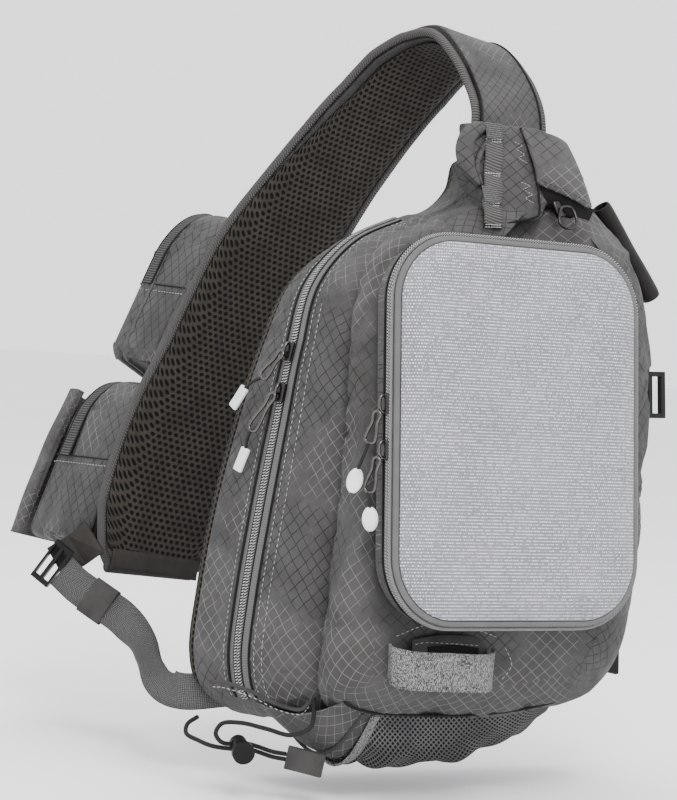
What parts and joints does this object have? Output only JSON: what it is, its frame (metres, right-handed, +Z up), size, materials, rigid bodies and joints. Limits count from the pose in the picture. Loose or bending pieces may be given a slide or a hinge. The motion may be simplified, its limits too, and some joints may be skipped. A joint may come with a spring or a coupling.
{
  "type": "fishing tackle sling bag",
  "caption": "Tall grey sling bag with a moulded zipped case on its front, zipped side, padded shoulder strap with pockets, webbing sling and a cord lock on elastic cord.",
  "frame": {"origin": "the shoulder point, on the strap's inner face under its highest part, where the bag hangs", "axes": "+Z up, -Y towards the moulded case on the front, +X to the right seen from the front; the padded strap falls behind, on +Y"},
  "size_m": [0.4158, 0.4097, 0.5234],
  "materials": {
    "ripstop": "grey woven nylon with a diagonal ripstop thread grid",
    "case_fabric": "light grey moulded foam faced with dotted cloth",
    "zip_tape": "lighter grey woven zip tape with a nylon coil",
    "spacer_mesh": "brown-grey spacer mesh over foam",
    "binding": "ribbed dark grosgrain binding",
    "heather_webbing": "grey and white mottled flat webbing",
    "plain_cloth": "plain grey woven cloth",
    "satin_lining": "black-brown satin lining cloth",
    "net": "dark net with a knitted rim",
    "shock_cord": "black braided elastic cord",
    "black_plastic": "black moulded acetal",
    "white_rubber": "white moulded soft plastic",
    "gunmetal": "dark nickel plated zinc"
  },
  "bodies": {
    "bag": {"case_base": "case_fabric", "case_zip": "zip_tape", "case_lid": "case_fabric", "case_slider_upper": "gunmetal", "case_pull_upper": "gunmetal", "case_bead_upper": "white_rubber", "case_slider_lower": "gunmetal", "case_pull_lower": "gunmetal", "case_bead_lower": "white_rubber", "cord_long": "shock_cord", "cord_short": "shock_cord", "tail_long": "shock_cord", "tail_short": "shock_cord", "main_compartment": "ripstop", "side_zip": "zip_tape", "front_compartment": "ripstop", "back_panel": "spacer_mesh", "side_slider_upper": "gunmetal", "side_pull_upper": "gunmetal", "side_tag_upper": "white_rubber", "side_slider_lower": "gunmetal", "side_pull_lower": "gunmetal", "side_tag_lower": "white_rubber", "neck_collar": "ripstop", "daisy_chain": "heather_webbing", "neck_flap": "plain_cloth", "top_slider": "gunmetal", "top_pull": "gunmetal", "rod_sleeve": "satin_lining", "front_loop": "heather_webbing", "front_patch": "plain_cloth", "net_pocket": "net", "pocket_lip": "ripstop", "strap_pad": "ripstop", "strap_mesh": "spacer_mesh", "strap_binding_left": "binding", "strap_binding_right": "binding", "strap_pocket_upper": "ripstop", "strap_pocket_lower": "ripstop", "strap_zip_upper": "zip_tape", "strap_zip_lower": "zip_tape", "strap_sleeve": "plain_cloth", "sling_webbing": "heather_webbing", "keeper": "heather_webbing", "webbing_loop": "heather_webbing", "ladder_lock": "black_plastic", "strap_tab": "binding", "side_tab_upper": "heather_webbing", "side_buckle_upper": "black_plastic", "side_tab_lower": "binding", "lock_barrel": "black_plastic", "cord_end": "binding"},
    "button": {"lock_button": "black_plastic"}
  },
  "joints": [
    {"name": "button_press", "type": "slide", "parent": "bag", "child": "button", "axis": [0.2532, 0.9621, 0.1013], "range_m": [0, 0.004], "stiffness_N_per_m": 400}
  ]
}
